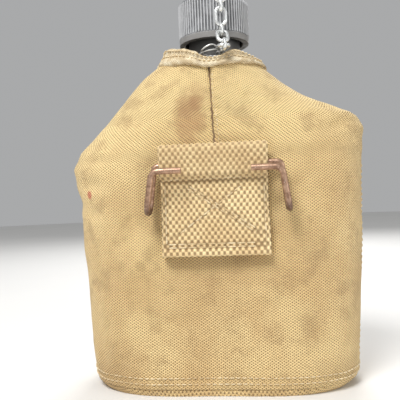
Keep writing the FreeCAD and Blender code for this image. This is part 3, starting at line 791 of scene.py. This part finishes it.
def make_flap_stitches(side, surface):
    """Two rows of stitches inside a flap's free edges."""
    word = "right" if side > 0 else "left"
    runs = []
    for inset in (2.2, 5.2):
        low = FLAP_LOW + inset
        rounding = FLAP_ROUNDING - inset
        points = [(1.2 + inset, 176.0), (1.2 + inset, low)]
        for step in range(0, 9):
            turn = math.pi / 2 * step / 9
            points.append((FLAP_CORNER + rounding * math.sin(turn), low + rounding * (1 - math.cos(turn))))
        path = straight_path([(x * side, 44.0, z) for x, z in points], 0.6)
        path[:, 1] = [front_depth(x, z) for x, _, z in path]
        runs.append((path, surface))
    make_stitches("flap_%s_stitches" % word, runs, word + "_flap", **COVER_THREAD)


def front_depth(across, height):
    """How far forward the outline lies at this place."""
    left, right, front, _, _, square = spline_columns(STATIONS, [height])[0]
    half_width = right if across > 0 else left
    share = min(0.98, abs(across) / half_width)
    return front * (1 - share ** square) ** (1 / square) + 1.5


def make_front_tape():
    """The folded tape that binds the pocket's top edge."""
    fold = turn_at_depth(FRONT_EDGE, edge_depth(FRONT_EDGE))
    turns = np.linspace(fold + 0.03, math.pi - fold - 0.03, 190)
    rows = []
    section = ((-1.35, -3.0), (-0.4, -3.4), (0.42, -3.0), (0.55, -1.2), (0.5, 0.6), (0.1, 1.6), (-0.6, 2.0),
               (-1.3, 1.6), (-1.75, 0.6), (-1.8, -1.2))
    for turn in turns:
        foot, outward = outline_frame(turn, FRONT_EDGE)
        rows.append([foot + outward * out + [0, 0, rise + 1.0] for out, rise in section])
    grid = np.array(rows)
    bumps = 0.12 * noise_at(grid.reshape(-1, 3), 5.0, 33)
    grid += grid_normals(grid) * bumps.reshape(grid.shape[:2])[..., None]
    piece = capped_ring("front_edge_tape", grid)
    ride_and_replace(piece, "canteen", "binding", "front_edge_binding")


def make_linings():
    """Wool felt inside the cover, thick and fuzzy, seen at the neck and when a flap is open."""
    parts = (
        ("lining_back_felt", "lining_back", 8.0, 172.0, math.pi - 0.09, TURN + 0.09, 120),
        ("lining_front_felt", "lining_front", 8.0, 125.5, 0.1, math.pi - 0.1, 110),
    )
    for name, node, low, high, start, end, count in parts:
        rows, maps = [], []
        for height in np.arange(low, high, 2.6):
            row, along = even_row(outline_points(np.linspace(start, end, 600), height, -2.0), count)
            rows.append(row)
            maps.append(np.stack([along, np.full(count, height)], axis=1))
        grid = np.array(rows)
        flat = grid.reshape(-1, 3)
        fuzz = 0.18 * noise_at(flat, 3.0, 41) + 0.25 * noise_at(flat, 12.0, 42)
        grid = grid + grid_normals(grid) * (fuzz - 0.25).reshape(grid.shape[:2])[..., None]
        piece = mesh_from_grid(name, grid, np.array(maps))
        thicken(piece, 1.6)
        ride_and_replace(piece, "canteen", "felt", node)


def wire_piece(name, paths, radius, slot, body, *nodes, sides=8):
    """Round wires along smooth paths, as one piece."""
    vertices, faces = [], []
    for path in paths:
        add_tube(vertices, faces, tube_rows(path, sides, np.full(len(path), radius)))
    ride_and_replace(mesh_from_lists(name, vertices, faces), body, slot, *nodes)


def smooth_path(points, count):
    """A Catmull-Rom path through listed points."""
    points = np.array(points, float)
    keys = np.arange(len(points), dtype=float)
    table = np.concatenate([keys[:, None], points], axis=1)
    return spline_columns(table, np.linspace(0, keys[-1], count))


def twisted(path, radius, turns):
    """Two strands wound round a path."""
    tangent = unit(np.gradient(path, axis=0))
    side = unit(np.cross(tangent, [0.05, 0.1, 1.0]))
    other = np.cross(tangent, side)
    angle = np.linspace(0, TURN * turns, len(path))[:, None]
    offset = radius * (np.cos(angle) * side + np.sin(angle) * other)
    return [path + offset, path - offset]


def make_tie_wire():
    """Thin twisted wire round the neck, and the loose loops that catch the last link."""
    low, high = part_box("neck_tie_wire")
    height = (low.z + high.z) / 2 / MM
    reach = (high.x - low.x) / 2 / MM - 0.45
    turns = np.linspace(0, TURN * 0.995, 260)
    rise = height + 0.5 * np.sin(turns * 2 + 0.6)
    ring = twisted(np.stack([reach * np.cos(turns), reach * np.sin(turns), rise], axis=1), 0.42, 16)
    wire_piece("neck_tie_ring", ring, 0.4, "tie_wire", "canteen", "neck_tie_wire", sides=6)
    loops = (
        ((-1.5, -17.6, 188.0), (-5.0, -21.0, 188.6), (-5.4, -25.5, 189.6), (-2.0, -27.0, 191.6),
         (1.2, -26.0, 192.4), (4.2, -23.2, 190.6), (5.2, -21.2, 189.0), (8.0, -21.0, 188.0),
         (9.6, -24.5, 186.4), (9.9, -27.6, 185.0)),
        ((2.0, -17.4, 188.6), (3.0, -20.6, 189.6), (5.0, -21.6, 189.0), (6.8, -20.2, 188.2),
         (5.4, -17.4, 188.4)),
        ((-7.6, -23.6, 187.6), (-4.6, -25.0, 188.8), (-1.4, -25.6, 189.4), (2.0, -24.6, 190.0),
         (4.6, -22.4, 189.6), (5.8, -21.0, 188.4), (4.6, -19.4, 187.2)),
    )
    paths = [smooth_path(points, 90) for points in loops]
    wire_piece("chain_tie_loops", paths, 0.45, "tie_wire", "link_6")


# ---------------------------------------------------------------- materials


class Paint:
    """A material being put together, with short names for the nodes it needs."""

    def __init__(self, name, roughness, metallic=0.0):
        self.material = bpy.data.materials.new(name)
        self.material.use_nodes = True
        self.tree = self.material.node_tree
        self.shader = self.tree.nodes["Principled BSDF"]
        self.shader.inputs["Roughness"].default_value = roughness
        self.shader.inputs["Metallic"].default_value = metallic
        self.place = self.tree.nodes.new("ShaderNodeTexCoord").outputs["Object"]

    def feed(self, source, target):
        """Set a socket to a number or colour, or link another socket to it."""
        if isinstance(source, bpy.types.NodeSocket):
            self.tree.links.new(source, target)
        else:
            target.default_value = source

    def math(self, operation, first, second=0.0, third=0.0):
        node = self.tree.nodes.new("ShaderNodeMath")
        node.operation = operation
        for socket, source in zip(node.inputs, (first, second, third)):
            self.feed(source, socket)
        return node.outputs[0]

    def noise(self, scale, detail=3.0, roughness=0.5, stretch=None):
        """Noise from 0 to 1; stretch scales it along each axis."""
        source = self.place
        if stretch:
            mapping = self.tree.nodes.new("ShaderNodeMapping")
            mapping.inputs["Scale"].default_value = stretch
            self.feed(source, mapping.inputs["Vector"])
            source = mapping.outputs[0]
        node = self.tree.nodes.new("ShaderNodeTexNoise")
        node.inputs["Scale"].default_value = scale
        node.inputs["Detail"].default_value = detail
        node.inputs["Roughness"].default_value = roughness
        self.feed(source, node.inputs["Vector"])
        return node.outputs[0]

    def waver(self, scale, detail, reach, roughness=0.5):
        """Noise from -reach/2 to reach/2."""
        return self.math("MULTIPLY", self.math("SUBTRACT", self.noise(scale, detail, roughness), 0.5), reach)

    def over(self, tint, share):
        """Lay a tint over the base colour, by a share from 0 to 1."""
        self.base = self.mix(share, self.base, tint)

    def band(self, source, low, high, to_low=0.0, to_high=1.0):
        """Smoothly remap a value from low..high."""
        node = self.tree.nodes.new("ShaderNodeMapRange")
        node.interpolation_type = "SMOOTHSTEP"
        for name, value in (("From Min", low), ("From Max", high), ("To Min", to_low), ("To Max", to_high)):
            node.inputs[name].default_value = value
        self.feed(source, node.inputs["Value"])
        return node.outputs[0]

    def mix(self, share, first, second):
        node = self.tree.nodes.new("ShaderNodeMix")
        node.data_type = "RGBA"
        self.feed(share, node.inputs[0])
        self.feed(colour(first), node.inputs[6])
        self.feed(colour(second), node.inputs[7])
        return node.outputs[2]

    def split(self, vector):
        node = self.tree.nodes.new("ShaderNodeSeparateXYZ")
        self.feed(vector, node.inputs[0])
        return node.outputs[0], node.outputs[1], node.outputs[2]

    def spot(self, centre, size):
        """1 inside a ragged patch round a place in millimetres, fading to 0."""
        x, y, z = self.split(self.place)
        total = None
        for socket, middle, reach in zip((x, y, z), centre, size):
            away = self.math("DIVIDE", self.math("SUBTRACT", socket, middle * MM), reach * MM)
            square = self.math("MULTIPLY", away, away)
            total = square if total is None else self.math("ADD", total, square)
        return self.band(self.math("ADD", total, self.waver(160.0, 4.0, 2.0, 0.6)), 1.4, 0.2)

    def cloth_weave(self, pitch_across, pitch_along, wobble):
        """Height of a plain weave, from 0 to 1: knobs wherever a thread passes over."""
        node = self.tree.nodes.new("ShaderNodeUVMap")
        node.uv_map = "cloth"
        u, v, _ = self.split(node.outputs[0])
        waves = []
        for place, pitch, scale in ((u, pitch_across, 210.0), (v, pitch_along, 190.0)):
            threads = self.math("MULTIPLY", place, CLOTH_UNIT / pitch)
            threads = self.math("ADD", threads, self.waver(scale, 2.0, wobble))
            waves.append(self.math("COSINE", self.math("MULTIPLY", threads, math.pi)))
        return self.math("MULTIPLY_ADD", self.math("MULTIPLY", *waves), 0.5, 0.5)

    def bump(self, height, distance, strength=1.0):
        node = self.tree.nodes.new("ShaderNodeBump")
        node.inputs["Strength"].default_value = strength
        node.inputs["Distance"].default_value = distance * MM
        self.feed(height, node.inputs["Height"])
        self.feed(node.outputs[0], self.shader.inputs["Normal"])

    def done(self, roughness=None):
        self.feed(colour(self.base), self.shader.inputs["Base Color"])
        if roughness is not None:
            self.feed(roughness, self.shader.inputs["Roughness"])
        return self.material


def colour(source):
    """A colour with its alpha, or a socket as it is."""
    if isinstance(source, (tuple, list)) and len(source) == 3:
        return (*source, 1.0)
    return source


CANVAS_LIGHT = (0.86, 0.645, 0.315)
CANVAS_MID = (0.70, 0.485, 0.225)
CANVAS_DARK = (0.40, 0.25, 0.11)
# painted shade for the hollows between the threads of a weave
WEAVE_GAP_SHADE = (0.20, 0.115, 0.045)
DIRT = (0.20, 0.13, 0.07)
RUST = (0.40, 0.17, 0.07)


def dart_line(paint):
    """Share of the dark, soiled seam line of the back's dart."""
    x, y, z = paint.split(paint.place)
    across = paint.math("MULTIPLY_ADD", z, DART_SLANT, x)
    across = paint.math("ADD", across, paint.waver(330.0, 3.0, 2.2 * MM))
    middle = (DART_FOOT + DART_SLANT * DART_BASE) * MM
    away = paint.math("ABSOLUTE", paint.math("SUBTRACT", across, middle))
    line = paint.band(away, 0.75 * MM, 0.2 * MM, 0.0, 0.9)
    line = paint.math("MULTIPLY", line, paint.band(z, 0.130, 0.138))
    return paint.math("MULTIPLY", line, paint.band(y, 0.0, -0.01))


def canvas_material():
    """Faded cotton duck: plain weave, blotchy fading, stain marks, darker lower corners, painted light on the
    upper part, painted shadow under and beside the tab and painted shade between the threads.
    """
    paint = Paint("canvas_duck", 0.92)
    weave = paint.cloth_weave(1.08, 0.76, 0.7)
    slub = paint.noise(900.0, 2.0, 0.6, stretch=(1.0, 1.0, 0.18))
    cross_slub = paint.noise(800.0, 2.0, 0.6, stretch=(0.15, 0.4, 1.0))
    blotch = paint.band(paint.noise(22.0, 5.0, 0.62), 0.36, 0.66)
    paint.base = paint.mix(blotch, CANVAS_MID, CANVAS_LIGHT)
    _, _, height = paint.split(paint.place)
    # painted light: the upper part of the cover is painted lighter, as if lit from above
    painted_top_light = paint.band(height, 0.105, 0.165, 0.0, 0.55)
    paint.over((0.92, 0.72, 0.345), painted_top_light)
    mottle = paint.band(paint.noise(75.0, 4.0, 0.6), 0.48, 0.70, 0.0, 0.42)
    paint.over(CANVAS_DARK, mottle)
    # stain marks, and painted shadow and shade round the tab: centre, size, strength, tint
    stains_and_painted_shade = (
        ((-13, -36, 152), (9, 14, 17), 0.50, RUST),
        ((-8, -34, 164), (5, 12, 9), 0.22, RUST),
        # painted shadow under the tab
        ((0, -43, 66), (44, 16, 11), 0.12, CANVAS_DARK),
        # painted shade beside the tab's left edge
        ((-36, -42, 104), (8, 14, 30), 0.20, CANVAS_DARK),
        # a dark spot left of the tab's lower end
        ((-42, -43, 71), (3.4, 12, 3.0), 0.36, CANVAS_DARK),
        # painted shade beside the tab's right edge
        ((38, -42, 96), (7, 14, 22), 0.16, CANVAS_DARK),
        ((-72, -30, 111), (1.6, 9, 2.6), 0.75, (0.55, 0.08, 0.05)),
        # darker patches at the back's lower corners
        ((66, -30, 12), (22, 18, 9), 0.26, CANVAS_DARK),
        ((-62, -30, 10), (24, 18, 8), 0.22, CANVAS_DARK),
        ((30, 40, 60), (18, 12, 20), 0.22, CANVAS_DARK),
        ((-44, 38, 40), (12, 12, 16), 0.24, RUST),
    )
    for centre, size, strength, tint in stains_and_painted_shade:
        paint.over(tint, paint.math("MULTIPLY", paint.spot(centre, size), strength))
    # painted shade between the threads of the weave
    paint.over(WEAVE_GAP_SHADE, paint.band(weave, 0.55, 0.02, 0.0, 0.92))
    flecks = paint.band(paint.noise(420.0, 3.0, 0.7), 0.66, 0.78, 0.0, 0.4)
    paint.over(DIRT, flecks)
    paint.over((0.17, 0.09, 0.045), dart_line(paint))
    relief = paint.math("ADD", weave, paint.math("MULTIPLY", paint.math("ADD", slub, cross_slub), 0.35))
    paint.bump(relief, 0.55, 1.0)
    paint.shader.inputs["Sheen Weight"].default_value = 0.08
    paint.shader.inputs["Sheen Roughness"].default_value = 0.6
    return paint.done()


def webbing_material():
    """Thick cotton webbing: the relief is in the mesh; the threads' twist, dirt and painted shade in the
    weave's hollows are here.
    """
    paint = Paint("cotton_webbing", 0.9)
    weave = paint.cloth_weave(0.40, 0.52, 0.3)
    strands = paint.noise(1500.0, 2.0, 0.6, stretch=(1.0, 1.0, 0.3))
    blotch = paint.band(paint.noise(60.0, 4.0, 0.6), 0.35, 0.68)
    paint.base = paint.mix(blotch, (0.80, 0.59, 0.31), (0.98, 0.78, 0.44))
    # painted shade in the weave's hollows, read from the relief stored on the mesh
    hollow = paint.tree.nodes.new("ShaderNodeAttribute")
    hollow.attribute_name = "relief"
    paint.over(WEAVE_GAP_SHADE, paint.band(hollow.outputs["Fac"], 0.60, 0.05, 0.0, 0.80))
    _, _, height = paint.split(paint.place)
    worn = paint.band(height, 0.112, 0.120, 0.0, 0.30)
    paint.over((0.42, 0.28, 0.135), worn)
    flecks = paint.band(paint.noise(500.0, 3.0, 0.7), 0.62, 0.76, 0.0, 0.5)
    paint.over(DIRT, flecks)
    paint.bump(paint.math("ADD", weave, paint.math("MULTIPLY", strands, 0.8)), 0.22, 0.8)
    paint.shader.inputs["Sheen Weight"].default_value = 0.1
    return paint.done()


def binding_material():
    """Rolled, rubbed edges: greyer where they are worn, with random soiled patches and painted shade between
    the threads.
    """
    paint = Paint("rolled_binding", 0.92)
    weave = paint.cloth_weave(0.8, 0.8, 0.4)
    wear = paint.band(paint.noise(150.0, 5.0, 0.65), 0.38, 0.62)
    paint.base = paint.mix(wear, (0.62, 0.49, 0.30), (0.90, 0.80, 0.58))
    soil = paint.band(paint.noise(110.0, 4.0, 0.6), 0.54, 0.68, 0.0, 0.55)
    paint.over((0.26, 0.17, 0.09), soil)
    # painted shade between the threads
    paint.over((0.25, 0.16, 0.08), paint.band(weave, 0.6, 0.15, 0.0, 0.5))
    fuzz = paint.noise(1300.0, 3.0, 0.7)
    paint.bump(paint.math("ADD", weave, fuzz), 0.3, 0.9)
    return paint.done()


def thread_material():
    """Waxed cotton thread, a little lighter than the cloth."""
    paint = Paint("sewing_thread", 0.85)
    tone = paint.band(paint.noise(90.0, 4.0, 0.6), 0.35, 0.65)
    paint.base = paint.mix(tone, (0.66, 0.50, 0.28), (0.92, 0.78, 0.52))
    twist = paint.noise(2600.0, 2.0, 0.6)
    paint.over((0.34, 0.23, 0.12), paint.band(twist, 0.6, 0.4, 0.0, 0.4))
    paint.bump(twist, 0.15, 0.8)
    return paint.done()


def felt_material():
    """Olive-grey wool felt."""
    paint = Paint("wool_felt", 1.0)
    fibres = paint.noise(700.0, 6.0, 0.75)
    paint.base = paint.mix(paint.band(fibres, 0.35, 0.65), (0.16, 0.14, 0.10), (0.34, 0.30, 0.22))
    paint.over((0.24, 0.18, 0.11), paint.band(paint.noise(60.0, 4.0), 0.4, 0.7, 0.0, 0.4))
    paint.bump(fibres, 0.5, 0.9)
    paint.shader.inputs["Sheen Weight"].default_value = 0.3
    return paint.done()


def cap_material():
    """Black moulded plastic, greyed by wear and dust, with a browner rim and a painted highlight along the
    ribs' outer faces.
    """
    paint = Paint("cap_plastic", 0.5)
    dust = paint.band(paint.noise(120.0, 6.0, 0.7), 0.40, 0.68)
    paint.base = paint.mix(dust, (0.13, 0.134, 0.14), (0.33, 0.335, 0.345))
    scratches = paint.band(paint.noise(520.0, 5.0, 0.7, stretch=(1.0, 1.0, 0.12)), 0.60, 0.72, 0.0, 0.6)
    paint.over((0.34, 0.34, 0.34), scratches)
    x, y, height = paint.split(paint.place)
    radius = paint.math("SQRT", paint.math("ADD", paint.math("MULTIPLY", x, x), paint.math("MULTIPLY", y, y)))
    # painted highlight on the outermost faces of the ribs
    rib_edge_highlight = paint.band(radius, 0.0203, 0.0209, 0.0, 0.7)
    paint.over((0.56, 0.565, 0.575), rib_edge_highlight)
    rim = paint.band(height, 0.2026, 0.2012, 0.0, 0.6)
    paint.over((0.13, 0.115, 0.095), rim)
    rough = paint.band(paint.noise(300.0, 4.0, 0.6), 0.3, 0.7, 0.42, 0.68)
    paint.bump(paint.noise(1800.0, 4.0, 0.7), 0.05, 0.7)
    return paint.done(rough)


def metal_material(name, bright, dull, share, rough_low, rough_high, metallic):
    """Worn metal: two tones, uneven gloss and fine pitting."""
    grain = 260.0
    paint = Paint(name, 0.4, metallic)
    patch = paint.band(paint.noise(grain, 6.0, 0.7), share - 0.13, share + 0.13)
    fine = paint.noise(grain * 6, 4.0, 0.7)
    paint.base = paint.mix(patch, bright, dull)
    paint.over(dull, paint.band(fine, 0.55, 0.75, 0.0, 0.5))
    rough = paint.band(patch, 0.0, 1.0, rough_low, rough_high)
    paint.bump(fine, 0.06, 0.8)
    return paint.done(rough)


def canteen_metal_material():
    """Dull aluminium, with painted shadow making the neck under the cap nearly black."""
    paint = Paint("dull_aluminium", 0.45, 0.85)
    patch = paint.band(paint.noise(38.0, 5.0, 0.6), 0.35, 0.7)
    paint.base = paint.mix(patch, (0.60, 0.60, 0.585), (0.44, 0.435, 0.42))
    scratch = paint.band(paint.noise(420.0, 5.0, 0.7, stretch=(0.25, 1.0, 1.6)), 0.60, 0.72, 0.0, 0.4)
    paint.over((0.74, 0.74, 0.72), scratch)
    _, _, height = paint.split(paint.place)
    # painted shadow: the neck under the cap is painted nearly black
    neck_painted_shadow = paint.band(height, 0.172, 0.180, 0.0, 0.88)
    paint.over((0.045, 0.042, 0.038), neck_painted_shadow)
    paint.bump(paint.noise(900.0, 4.0, 0.7), 0.05, 0.7)
    return paint.done(paint.band(patch, 0.0, 1.0, 0.40, 0.58))


def hook_material():
    """Wire with a pinkish brown patina, rubbed bright in scattered patches and dark at the feet."""
    paint = Paint("hook_patina", 0.42, 0.75)
    patina = paint.band(paint.noise(330.0, 6.0, 0.7), 0.36, 0.64)
    paint.base = paint.mix(patina, (0.54, 0.345, 0.235), (0.27, 0.155, 0.10))
    _, _, height = paint.split(paint.place)
    feet = paint.band(height, 0.108, 0.099, 0.0, 0.75)
    paint.over((0.09, 0.06, 0.05), feet)
    bright = paint.band(paint.noise(900.0, 3.0, 0.6), 0.60, 0.72, 0.0, 0.7)
    paint.over((0.80, 0.60, 0.50), bright)
    paint.bump(paint.noise(1500.0, 4.0, 0.7), 0.08, 0.8)
    return paint.done(paint.band(patina, 0.0, 1.0, 0.30, 0.55))


def rubber_material():
    """Old black rubber with a grey bloom."""
    paint = Paint("gasket_rubber", 0.75)
    bloom = paint.band(paint.noise(200.0, 5.0, 0.6), 0.4, 0.7)
    paint.bump(paint.noise(900.0, 3.0), 0.05, 0.6)
    paint.base = paint.mix(bloom, (0.03, 0.03, 0.03), (0.10, 0.095, 0.09))
    return paint.done()


def paint_everything():
    """Give each slot's pieces their material."""
    by_slot = {
        "canvas": canvas_material(),
        "webbing": webbing_material(),
        "binding": binding_material(),
        "felt": felt_material(),
        "cap_plastic": cap_material(),
        "gasket_rubber": rubber_material(),
        "hook_metal": hook_material(),
        "canteen_metal": canteen_metal_material(),
    }
    # slot: material, bright tone, dull tone, share of the bright one, roughness of each, metallic
    metals = {
        "chain_metal": ("zinc_chain", (0.86, 0.87, 0.86), (0.60, 0.61, 0.61), 0.54, 0.28, 0.5, 0.85),
        "tie_wire": ("tie_wire", (0.86, 0.86, 0.84), (0.55, 0.53, 0.50), 0.5, 0.35, 0.6, 0.7),
        "snap_metal": ("blackened_brass", (0.30, 0.235, 0.14), (0.075, 0.065, 0.05), 0.46, 0.3, 0.55, 0.85),
    }
    for slot, looks in metals.items():
        by_slot[slot] = metal_material(*looks)
    thread = thread_material()
    slots = {entry["node"]: entry["material_slot"] for entry in frame["record"]["subparts"]}
    for piece in bpy.context.scene.objects:
        if piece.type != "MESH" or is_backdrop(piece):
            continue
        name = slots.get(piece.name) or piece.get("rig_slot")
        material = thread if piece.get("stitch") else by_slot[name]
        piece.data.materials.clear()
        piece.data.materials.append(material)
        if piece.name in slots:
            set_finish(piece, name)


# ---------------------------------------------------------------- camera, light and floor

CAMERA_TURN = math.radians(6.0)     # the camera stands a little towards the hook's right side
CAMERA_AWAY = 0.337
CAMERA_HEIGHT = 0.106
CAMERA_ASIDE = 0.0122               # the neck stands this far right of the picture's middle
CAMERA_ROLL = math.radians(2.2)
CAMERA_LENS = 50.2


def make_camera():
    """A level camera at the height of the tab, rolled so that the canteen leans a little left."""
    into = Vector((-math.sin(CAMERA_TURN), math.cos(CAMERA_TURN), 0.0))
    aside = Vector((math.cos(CAMERA_TURN), math.sin(CAMERA_TURN), 0.0))
    upward = aside * math.sin(CAMERA_ROLL) + Vector((0, 0, 1)) * math.cos(CAMERA_ROLL)
    data = bpy.data.cameras.new("camera")
    data.lens = CAMERA_LENS
    data.clip_start = 0.01
    camera = add_object("camera", data)
    right = into.cross(upward)
    turned = Matrix((right, upward, -into)).transposed().to_4x4()
    turned.translation = into * -CAMERA_AWAY - aside * CAMERA_ASIDE + Vector((0, 0, CAMERA_HEIGHT))
    camera.matrix_world = turned
    bpy.context.scene.camera = camera


def make_light(name, place, aim, size, power):
    """A round soft light at a place, turned to face another."""
    data = bpy.data.lights.new(name, "AREA")
    data.shape = "DISK"
    data.size = size
    data.energy = power
    light = add_object(name, data)
    light.location = place
    light.rotation_euler = (Vector(aim) - Vector(place)).to_track_quat("-Z", "Y").to_euler()


def make_studio():
    """A pale floor, a soft key light from above the camera's left, and a weak fill."""
    sides, reach = 64, 3.0
    ring = [(reach * math.cos(a), reach * math.sin(a), 0) for a in np.linspace(0, TURN, sides + 1)[:-1]]
    mesh = bpy.data.meshes.new("floor")
    mesh.from_pydata(ring, [], [tuple(range(sides))])
    floor = add_object("floor", mesh)
    pale = Paint("pale_floor", 0.7)
    pale.base = pale.mix(pale.noise(6.0, 3.0), (0.74, 0.73, 0.71), (0.78, 0.77, 0.75))
    floor.data.materials.append(pale.done())
    make_light("key", (-0.30, -0.70, 1.05), (0, 0, 0.11), 0.5, 14.5)
    make_light("fill", (0.9, -0.5, 0.35), (0, 0, 0.1), 0.7, 2.5)
    make_light("back", (0.1, 0.9, 0.8), (0, 0, 0.12), 0.7, 8)
    world = bpy.data.worlds.new("studio")
    world.use_nodes = True
    sky = world.node_tree.nodes["Background"]
    sky.inputs["Color"].default_value = (0.86, 0.87, 0.88, 1)
    sky.inputs["Strength"].default_value = 0.46
    bpy.context.scene.world = world
    bpy.context.scene.view_settings.view_transform = "Standard"


# ---------------------------------------------------------------- build

make_camera()
back_surface = make_back_cloth()
front_surface = make_front_cloth()
make_bottom_cloth()
flap_surfaces = [(side, make_flap(side)) for side in (1, -1)]
make_collars()
make_webbing()
make_seams(back_surface, front_surface, flap_surfaces)
make_front_tape()
make_linings()
make_tie_wire()
paint_everything()
make_studio()
